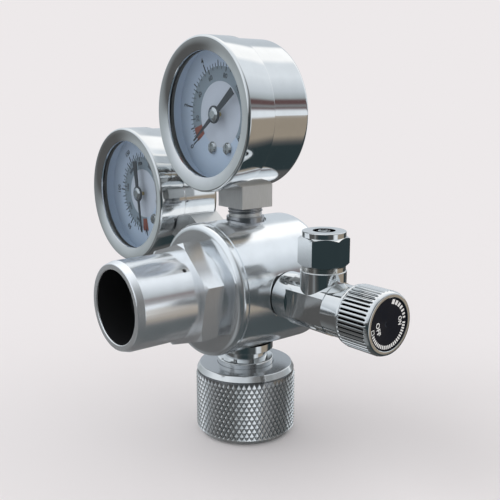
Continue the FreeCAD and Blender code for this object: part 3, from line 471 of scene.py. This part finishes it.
def helix(solid, place, profile, pitch, low, high, steps):
    # sweeps a closed section of (radius, height) along a screw line, run out to nothing at both ends
    turns = (high - low) / pitch
    total = int(turns * steps)
    middle = sum(h for r, h in profile) / len(profile)
    root = profile[0][0]
    corners, faces, count = [], [], len(profile)
    for s in range(total + 1):
        angle, rise = 2 * pi * s / steps, low + pitch * s / steps
        fade = min(1.0, s / steps * 2 + 0.02, (total - s) / steps * 2 + 0.02)
        for r, h in profile:
            radius, height = root + (r - root) * fade, rise + middle + (h - middle) * fade
            corners.append(place @ Vector((radius * cos(angle), radius * sin(angle), height)))
    for s in range(total):
        for i in range(count):
            j = (i + 1) % count
            faces.append((s * count + i, (s + 1) * count + i, (s + 1) * count + j, s * count + j))
    faces.append(tuple(reversed(range(count))))
    faces.append(tuple(total * count + i for i in range(count)))
    solid.add(corners, faces)


# hand nut: its knurl is in the solid, the thread in its mouth is added
nutThread = {"root": 10.7, "crest": 9.8, "pitch": 1.81, "low": 0.3, "high": 8.4}


def handNutThread():
    shape = nutThread
    root, pitch = shape["root"] + 0.2, shape["pitch"]
    section = [(root, 0.0), (shape["crest"], pitch * 0.42), (shape["crest"], pitch * 0.58), (root, pitch)]
    thread = Solid()
    helix(thread, Matrix.Scale(mm, 4), section, pitch, shape["low"], shape["high"], steps=64)
    thread.build("hand_nut_thread", finishFor("nickel_trim", "inlet"), "hand_nut", "polished_chrome")


handNutThread()
print("hand nut threaded")


# dials: printed scales as thin plates over the dial's face
def gaugePlace(side, depth):
    # a gauge's own right, up and outward, at a depth below its bezel's face
    turn = radians(sideLean if side == "side" else 0)
    centre = upperCentre if side == "upper" else sideCentre
    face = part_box(side + "_gauge_bezel")[0].y / mm
    return axes((cos(turn), 0, sin(turn)), (-sin(turn), 0, cos(turn)), (0, -1, 0),
                (centre.x, face + depth, centre.z))


glyphs = {}


def glyph(text, size):
    # a line of text as flat polygons, centred, in mm
    if (text, size) not in glyphs:
        curve = bpy.data.curves.new("glyph", "FONT")
        curve.body, curve.size = text, size
        curve.align_x, curve.align_y = "CENTER", "CENTER"
        curve.resolution_u = 3
        curve.offset = 0.035
        holder = bpy.data.objects.new("glyph", curve)
        bpy.context.scene.collection.objects.link(holder)
        bpy.context.view_layer.update()
        mesh = holder.to_mesh()
        xs, ys = [v.co.x for v in mesh.vertices], [v.co.y for v in mesh.vertices]
        cx, cy = (min(xs) + max(xs)) / 2, (min(ys) + max(ys)) / 2
        corners = [(v.co.x - cx, v.co.y - cy) for v in mesh.vertices]
        glyphs[text, size] = corners, [tuple(p.vertices) for p in mesh.polygons]
        holder.to_mesh_clear()
        bpy.data.objects.remove(holder)
        bpy.data.curves.remove(curve)
    return glyphs[text, size]


def clock(radius, degrees):
    return radius * sin(radians(degrees)), radius * cos(radians(degrees))


class Print:
    # ink on a dial: every mark is a closed plate between two heights
    def __init__(self, put, low, high):
        self.put, self.low, self.high, self.solid = put, low, high, Solid()

    def band(self, inner, outer, start, end, step=3):
        count = max(2, int(abs(end - start) / step) + 1)
        angles = [start + (end - start) * i / (count - 1) for i in range(count)]
        if inner <= 0:
            self.solid.plate([clock(outer, a) for a in angles[:-1]], self.low, self.high, self.put)
            return
        for first, second in zip(angles, angles[1:]):
            outline = [clock(inner, first), clock(outer, first), clock(outer, second), clock(inner, second)]
            self.solid.plate(outline, self.low, self.high, self.put)

    def tick(self, inner, outer, degrees, width):
        a, b = sin(radians(degrees)), cos(radians(degrees))
        half = width / 2
        outline = [(inner * a - half * b, inner * b + half * a), (outer * a - half * b, outer * b + half * a),
                   (outer * a + half * b, outer * b - half * a), (inner * a + half * b, inner * b - half * a)]
        self.solid.plate(outline, self.low, self.high, self.put)

    def word(self, text, size, radius, degrees, turned=None):
        # the text's top points outwards unless turned gives its own rotation
        corners, faces = glyph(text, size)
        spin = radians(degrees if turned is None else turned)
        cx, cy = clock(radius, degrees)
        flat = [(cx + a * cos(spin) + b * sin(spin), cy - a * sin(spin) + b * cos(spin)) for a, b in corners]
        count = len(flat)
        tops = [self.put(a, b, self.high) for a, b in flat]
        bottoms = [self.put(a, b, self.low) for a, b in flat]
        edges = {}
        for face in faces:
            for i, j in zip(face, face[1:] + face[:1]):
                edges[i, j] = edges.get((i, j), 0) + 1
        rim = [(i, j) for i, j in edges if (j, i) not in edges]
        self.solid.add(tops + bottoms, list(faces) + [tuple(count + i for i in reversed(face)) for face in faces]
                       + [(j, i, count + i, count + j) for i, j in rim])

    def build(self, name, ink, body, slot):
        return self.solid.build(name, finishFor(ink), body, slot)


dialDepth = 7.0  # below the bezel's face, in mm
dialPrints = {  # angles are clock angles; radii in mm
    "upper": {"zero": 225.5, "firstGap": 9.5, "sweep": 263, "units": 10, "labelEvery": 2, "label": 1, "minor": 5,
              "disc": 9.3, "band": 13.3, "tick": 15.0, "longTick": 15.8, "numeral": 2.2, "numeralRadius": 16.9,
              "small": 1.9, "smallRadius": 10.9, "innerTop": 140, "innerStep": 20, "innerTicks": 4,
              "innerShare": 0.9845, "red": (233, 251, 9.4, 13.2)},
    "side": {"zero": 225.5, "firstGap": 7.0, "sweep": 263, "units": 25, "labelEvery": 5, "label": 10, "minor": 2,
             "disc": 8.0, "band": 11.9, "tick": 13.4, "longTick": 14.1, "numeral": 2.0, "numeralRadius": 15.6,
             "small": 1.4, "smallRadius": 9.8, "innerTop": 3500, "innerStep": 500, "innerTicks": 5,
             "innerShare": 0.9844, "red": (228, 243, 8.4, 12.4)},
}
printHeights = {"centre": 0.02, "band": 0.025, "red": 0.04, "ink": 0.06}
bandPast, bandUnder = 2, 0.1  # degrees past the last mark, mm under the centre disc
tickWidths = {"long": 0.42, "short": 0.34, "fine": 0.2, "inner": 0.3, "innerFine": 0.2}
fineShare = 0.6  # of a short mark's length
innerReach = {"long": 1.3, "fine": 0.8}  # how far they reach in from the band's rim


def markAngle(marks, unit):
    # the first mark stands nearer to the second, where the pointer's stop is
    return marks["zero"] + (marks["sweep"] * unit / marks["units"] if unit else marks["firstGap"])


def printDial(side):
    marks = dialPrints[side]
    place = gaugePlace(side, dialDepth)

    def put(a, b, height):
        return place @ Vector((a, b, height))

    zero, sweep, rim = marks["zero"], marks["sweep"], marks["band"]
    white = Print(put, 0.0, printHeights["centre"])
    white.band(0, marks["disc"], 0, 360, step=4)
    grey = Print(put, 0.0, printHeights["band"])
    grey.band(marks["disc"] - bandUnder, rim, marks["red"][0], zero + sweep + bandPast)
    red = Print(put, 0.0, printHeights["red"])
    start, end, inner, outer = marks["red"]
    red.band(inner, outer, start, end)
    ink = Print(put, 0.0, printHeights["ink"])
    for unit in range(marks["units"] + 1):
        degrees = markAngle(marks, unit)
        labelled = unit % marks["labelEvery"] == 0
        if labelled:
            ink.tick(rim, marks["longTick"], degrees, tickWidths["long"])
            ink.word(str(unit * marks["label"]), marks["numeral"], marks["numeralRadius"], degrees)
        else:
            ink.tick(rim, marks["tick"], degrees, tickWidths["short"])
        if unit < marks["units"]:
            gap = (markAngle(marks, unit + 1) - degrees) / marks["minor"]
            for part in range(1, marks["minor"]):
                ink.tick(rim, rim + fineShare * (marks["tick"] - rim), degrees + gap * part, tickWidths["fine"])
    steps = marks["innerTop"] // marks["innerStep"]
    reach = sweep * marks["innerShare"]
    for step in range(steps + 1):
        degrees = zero + reach * step / steps
        first = 0 if step else marks["firstGap"]
        ink.tick(rim - innerReach["long"], rim, degrees + first, tickWidths["inner"])
        if step:
            ink.word(str(step * marks["innerStep"]), marks["small"], marks["smallRadius"], degrees)
        if step < steps:
            for part in range(1, marks["innerTicks"]):
                ink.tick(rim - innerReach["fine"], rim, degrees + reach * part / marks["innerTicks"] / steps,
                         tickWidths["innerFine"])
    white.build(side + "_dial_centre", "dial_centre", "regulator", "dial_white")
    grey.build(side + "_dial_band", "dial_band", "regulator", "dial_white")
    red.build(side + "_dial_red", "dial_red", "regulator", "dial_white")
    ink.build(side + "_dial_ink", "dial_ink", "regulator", "pointer_black")


def arc(radius, depth, rounding, start, end, count):
    # points of a rounding in a section of (radius, depth)
    turns = [radians(start + (end - start) * i / (count - 1)) for i in range(count)]
    return [(radius + rounding * cos(turn), depth + rounding * sin(turn)) for turn in turns]


gaugeFace = {  # radii and depths below the bezel's face, in mm
    "outer": 21.5, "length": 9.0, "wall": 21.05, "frontRound": 0.8, "rearRound": 0.28, "slopeInner": 17.4,
    "slopeDepth": 0.85, "bulge": 0.10, "pane": 1.45, "paneThickness": 1.2, "seat": 20.2, "lip": 4.95,
    "gasketInner": 17.55, "gasketRear": 3.1, "rimInner": 19.6, "lipEdge": (0.06, 0.1), "paneGap": 0.02,
    "seatGap": 0.03, "rimGap": 0.05, "rimOverDial": 0.004,
}


def gaugeFront(side):
    # bezel, pane, its black ring and the pale ring that stands between pane and dial
    face = gaugeFace
    place = gaugePlace(side, 0.0)
    outer, length, pane = face["outer"], face["length"], face["pane"]
    frontRound, rearRound = face["frontRound"], face["rearRound"]
    inner, depth, bulge = face["slopeInner"], face["slopeDepth"], face["bulge"]
    section = arc(outer - frontRound, frontRound, frontRound, 0, -78, count=8)
    start = section[-1]
    for step in range(1, 7):
        share = step / 7
        section.append((start[0] + (inner - start[0]) * share,
                        start[1] + (depth - start[1]) * share - bulge * 4 * share * (1 - share)))
    edge, drop = face["lipEdge"]
    paneFront, seatWall = pane - face["paneGap"], face["seat"] + face["seatGap"]
    section += [(inner, depth), (inner - edge, depth + drop), (inner - edge, paneFront)]
    section += [(seatWall, paneFront), (seatWall, face["lip"]), (face["wall"], face["lip"]),
                (face["wall"], length)]
    section += arc(outer - rearRound, length - rearRound, rearRound, 90, 0, count=5)

    def ring(innerRadius, outerRadius, front, rear):
        return [(innerRadius, front), (outerRadius, front), (outerRadius, rear), (innerRadius, rear)]

    paneRear = pane + face["paneThickness"]
    parts = {
        "bezel": (section, "chromed_steel", "chromed_steel", side),
        "window": (ring(0.0, face["seat"], pane, paneRear), "clear_window", "clear_window", ""),
        "window_gasket": (ring(face["gasketInner"], face["seat"], paneRear, face["gasketRear"]), "black_rubber",
                          "black_rubber", ""),
        "spacer": (ring(face["rimInner"], face["seat"] - face["rimGap"], face["gasketRear"] + face["paneGap"],
                        dialDepth - face["rimOverDial"]), "dial_white", "dial_white", ""),
    }
    for name, (section, look, slot, assembly) in parts.items():
        solid = Solid()
        solid.lathe([(radius, -depth) for radius, depth in section], place, 160)
        thing = solid.build(side + "_" + name, finishFor(look, assembly), "regulator", slot, sharp=24)
        if name != "spacer":
            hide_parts(side + "_gauge_" + name)


for side in ("upper", "side"):
    printDial(side)
    gaugeFront(side)
print("gauges dressed")


# the knob's grip: rounded ridges between narrow grooves
# the grip's dark colour is painted shade in its grooves
knobGrip = {"rear": 45.3, "front": 56.4, "radius": 8.4, "flutes": 44, "depth": 0.75, "groove": 0.42, "steps": 12,
            "crown": 0.06, "gripLow": 46.3, "gripHigh": 55.2, "collar": 8.12, "insert": 6.85, "insertDepth": 1.9,
            "recess": 5.0, "recessDepth": 3.4, "bore": 2.2, "dark": (0.03, 0.032, 0.035), "shadeFrom": 0.42,
            "shadeTo": 0.16, "shadeStart": 0.1, "shadeRim": 0.3}


def groovedChrome():
    # chrome ridges with painted shade in the grooves between them
    grip = knobGrip
    finish = turnedMetal("polished_chrome", "valve")
    along, away = turnedPlace(finish, "valve")
    # painted shade: the grooves between the ridges are coloured dark
    deep = 1 - finish.smooth(away, grip["radius"] - grip["shadeFrom"], grip["radius"] - grip["shadeTo"])
    ridged = (along > grip["gripLow"] + grip["shadeStart"]) * (along < grip["gripHigh"])
    grooveShade = deep * ridged * (away > grip["insert"] + grip["shadeRim"])
    paintWhere(finish, grooveShade, grip["dark"])
    return finish


def knobMesh():
    grip = knobGrip
    columns = grip["flutes"] * grip["steps"]
    radius, front, rear = grip["radius"], grip["front"], grip["rear"]
    low, high = grip["gripLow"], grip["gripHigh"]
    # radius, place along the axis and how deep the grooves are there
    section = [(grip["recess"], rear, 0), (grip["collar"] - 0.25, rear, 0), (grip["collar"], rear + 0.12, 0),
               (grip["collar"], low - 0.42, 0), (radius - 0.35, low - 0.3, 0), (radius - 0.12, low - 0.1, 0.25),
               (radius, low + 0.15, 0.8), (radius, low + 0.45, 1)]
    section += [(radius, low + 0.45 + (high - low - 0.9) * share, 1) for share in (0.33, 0.66, 1)]
    section += [(radius, high - 0.15, 0.8), (radius - 0.05, high + 0.08, 0.2), (radius - 0.1, high + 0.2, 0),
                (radius - 0.42, front - 0.28, 0), (radius - 0.62, front - 0.06, 0), (radius - 0.85, front, 0),
                (grip["insert"] + 0.12, front, 0), (grip["insert"], front - 0.1, 0),
                (grip["insert"], front - grip["insertDepth"], 0), (grip["bore"], front - grip["insertDepth"], 0),
                (grip["bore"], rear + grip["recessDepth"], 0), (grip["recess"], rear + grip["recessDepth"], 0)]
    solid = Solid()
    count = len(section)
    for column in range(columns):
        share = column % grip["steps"] / grip["steps"]
        away = abs(share - 0.5) * 2  # 1 in the middle of a groove
        width = 1 - grip["groove"]
        dip = ((away - width) / grip["groove"]) ** 0.7 if away > width else 0.0
        crown = grip["crown"] * min(1.0, away / width) ** 2
        turn = 2 * pi * column / columns
        for r, x, depth in section:
            r -= depth * (dip * (grip["depth"] - grip["crown"]) + crown)
            solid.corners.append((x * mm, r * cos(turn) * mm, (axisHeight + r * sin(turn)) * mm))
    for column in range(columns):
        after = (column + 1) % columns
        for i in range(count):
            j = (i + 1) % count
            solid.faces.append((column * count + i, after * count + i, after * count + j, column * count + j))
    thing = solid.build("knob_grip", groovedChrome().material, "knob", "polished_chrome", sharp=38)
    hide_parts("knob")


knobMesh()
print("knob ridged")


# the knob's black dial: its marks drape over the shallow cone
knobDial = {"faceX": 56.05, "rimRadius": 6.8, "dish": 0.7, "below": 0.02, "thickness": 0.03, "inner": 5.2,
            "outer": 6.35, "off": 259, "on": 88, "blockLine": 0.16, "blockHalf": 6.0, "blockHole": 4.4,
            "ticks": 24, "tickWidth": 0.42, "tickInset": 0.25,
            "blocks": [(82, 0.44, 0.8), (73, 0.5, 0.85), (63, 0.56, 0.95), (52, 0.64, 1.0), (41, 0.74, 1.1),
                       (29, 0.84, 1.15), (16, 0.96, 1.2)],  # clock angle, width and length
            "words": [("OFF", 2.0, 3.5, 258, 78), ("ON", 1.5, 4.55, 88, 88)]}  # size, radius, place and turn


def printKnob():
    marks = knobDial
    place = axes((0, 1, 0), (0, 0, 1), (1, 0, 0), (marks["faceX"] - marks["dish"], 0, axisHeight))

    def put(a, b, height):
        return place @ Vector((a, b, height + marks["dish"] * hypot(a, b) / marks["rimRadius"]))

    ink = Print(put, -marks["below"], marks["thickness"])
    inner, outer, off, on = marks["inner"], marks["outer"], marks["off"], marks["on"]
    half, hole, line = marks["blockHalf"], marks["blockHole"], marks["blockLine"]
    for start, end in ((off - half, off - hole), (off + hole, off + half)):  # a hollow block where OFF stands
        ink.band(inner, outer, start, end, step=1)
    ink.band(inner, inner + line, off - hole - 0.2, off + hole + 0.2, step=2)
    ink.band(outer - line, outer, off - hole - 0.2, off + hole + 0.2, step=2)
    for step in range(1, marks["ticks"]):  # fine ticks from OFF through the bottom to ON
        degrees = off - 5 - (off - on - 6) * step / marks["ticks"]
        ink.tick(inner + marks["tickInset"], outer, degrees, marks["tickWidth"])
    for degrees, width, length in marks["blocks"]:
        ink.tick(outer - length, outer, degrees, width)
    for word, size, radius, degrees, turned in marks["words"]:
        ink.word(word, size, radius, degrees, turned=turned)
    ink.build("knob_dial_ink", "knob_ink", "knob", "dial_white")


printKnob()
print("knob dial printed")


# upper gauge's stem: a few thread turns show between the square and the washer
stemThread = {"root": 4.8, "crest": 5.12, "pitch": 0.91, "low": 20.5, "high": 23.0}


def stemThreads():
    shape = stemThread
    root, pitch = shape["root"], shape["pitch"]
    section = [(root, 0.0), (shape["crest"], pitch * 0.36), (shape["crest"], pitch * 0.6), (root, pitch * 0.96)]
    thread = Solid()
    helix(thread, axes((1, 0, 0), (0, 1, 0), (0, 0, 1), (0, 0, axisHeight)), section, pitch, shape["low"],
          shape["high"], steps=48)
    thread.build("upper_stem_thread", finishFor("spring_steel", "inlet"), "regulator", "brushed_nickel")


stemThreads()
print("small pieces made")


# studio: pale surroundings for the eye, soft light for matt surfaces and a studio for metal to mirror
studio = {
    "pale": (0.847, 0.815, 0.823), "fill": 0.85, "sunStrength": 0.66, "sunAngle": 40.0,
    "sunFrom": (-0.55, -0.75, 0.95), "floorDrop": 0.3, "floorEdge": 6.0,
}
# what metal mirrors: a plain studio of cards in a few tones, by angle from +X over +Z in degrees, in four
# rings: well behind the object, a little behind it, level with it and before it
tones = {
    "softbox": (1.2, 1.2, 1.2), "bright": (0.85, 0.90, 0.95), "wall": (0.60, 0.65, 0.70),
    "grey": (0.40, 0.44, 0.46), "dim": (0.26, 0.28, 0.29), "tan": (0.35, 0.30, 0.24),
    "maroon": (0.13, 0.08, 0.08), "shade": (0.10, 0.10, 0.10), "dark": (0.03, 0.045, 0.05),
}
rearRing = [
    (-180, "wall"), (-165, "dim"), (-150, "shade"), (-105, "shade"), (-98, "dark"), (-51, "dark"), (-44, "shade"),
    (-34, "tan"), (-6, "tan"), (-3, "bright"), (5, "bright"), (9, "maroon"), (13, "dim"), (16, "maroon"),
    (21, "maroon"), (25, "grey"), (35, "wall"), (60, "bright"), (83, "bright"), (91, "softbox"), (120, "softbox"),
    (127, "wall"), (180, "wall"),
]
quarterRing = [
    (-180, "wall"), (-150, "dim"), (-120, "shade"), (-60, "dark"), (-30, "shade"), (-18, "bright"), (0, "bright"),
    (10, "dim"), (35, "dim"), (60, "bright"), (110, "softbox"), (150, "bright"), (180, "wall"),
]
middleRing = [
    (-180, "grey"), (-170, "grey"), (-150, "dim"), (-120, "shade"), (-60, "dark"), (20, "shade"), (45, "dim"),
    (80, "bright"), (110, "softbox"), (150, "bright"), (167, "wall"), (180, "grey"),
]
frontRing = [
    (-180, "grey"), (-173, "dim"), (-164, "shade"), (-130, "shade"), (-90, "dim"), (-60, "shade"), (-30, "dark"),
    (-10, "dark"), (10, "shade"), (35, "wall"), (75, "bright"), (148, "bright"), (165, "wall"), (180, "grey"),
]


ringEdges = [(-0.55, -0.2), (0.0, 0.2), (0.4, 0.55)]  # where one ring gives way to the next, towards +Y


def ringStops(ring):
    return [((degrees + 180) / 360, tones[tone]) for degrees, tone in ring]


def makeWorld():
    world = bpy.data.worlds.new("studio")
    bpy.context.scene.world = world
    world.use_nodes = True
    world.cycles.sampling_method = "NONE"
    graph = Graph(world.node_tree)
    x = graph.node("ShaderNodeSeparateXYZ", {}, {0: graph.node("ShaderNodeTexCoord", out="Generated")})
    y, z = x.other("Y"), x.other("Z")
    turn = graph.math("ARCTAN2", z, x) / (2 * pi) + 0.5
    rings = [graph.node("ShaderNodeValToRGB", {"stops": ringStops(ring)}, {0: turn})
             for ring in (frontRing, middleRing, quarterRing, rearRing)]
    mirrored = rings[0]
    for ring, (start, end) in zip(rings[1:], ringEdges):
        mirrored = graph.mix(graph.smooth(y, start, end), mirrored, ring)
    path = graph.node("ShaderNodeLightPath", out="Is Camera Ray")
    fill = (studio["fill"],) * 3
    colour = graph.mix(path.other("Is Glossy Ray"), fill, mirrored)
    seen = graph.math("MAXIMUM", path, path.other("Is Transmission Ray"))
    colour = graph.mix(seen, colour, studio["pale"])
    background = world.node_tree.nodes["Background"]
    world.node_tree.links.new(colour.socket, background.inputs["Color"])


def makeFloor():
    edge, drop = studio["floorEdge"], studio["floorDrop"] * mm
    mesh = bpy.data.meshes.new("floor")
    mesh.from_pydata([(-edge, -edge, -drop), (edge, -edge, -drop), (edge, edge, -drop), (-edge, edge, -drop)], [],
                     [(0, 1, 2, 3)])
    floor = bpy.data.objects.new("floor", mesh)
    bpy.context.scene.collection.objects.link(floor)
    finish = Finish("pale_floor", BaseColor=studio["pale"], Roughness=1.0, SpecularIORLevel=0.0)
    mesh.materials.append(finish.material)
    floor.visible_glossy = False


def makeLights():
    sun = bpy.data.lights.new("key", "SUN")
    sun.energy, sun.angle = studio["sunStrength"], radians(studio["sunAngle"])
    lamp = bpy.data.objects.new("key", sun)
    bpy.context.scene.collection.objects.link(lamp)
    lamp.rotation_mode = "QUATERNION"
    lamp.rotation_quaternion = Vector(studio["sunFrom"]).to_track_quat("Z", "Y")
    lamp.visible_glossy = False


view = {"azimuth": 50.61, "elevation": 11.72, "place": (0.17172, -0.13920, 0.10201), "lens": 54.13, "sensor": 36.0}


def makeCamera():
    azimuth, elevation = radians(view["azimuth"]), radians(view["elevation"])
    back = Vector((sin(azimuth) * cos(elevation), -cos(azimuth) * cos(elevation), sin(elevation)))
    lens = bpy.data.cameras.new("camera")
    lens.lens, lens.sensor_width = view["lens"], view["sensor"]
    lens.clip_start, lens.clip_end = 0.01, 20.0
    camera = bpy.data.objects.new("camera", lens)
    bpy.context.scene.collection.objects.link(camera)
    camera.location = view["place"]
    camera.rotation_mode = "QUATERNION"
    camera.rotation_quaternion = (-back).to_track_quat("-Z", "Y")
    bpy.context.scene.camera = camera


makeWorld()
makeFloor()
makeLights()
makeCamera()
bpy.context.scene.view_settings.view_transform = "Standard"
print("studio ready")
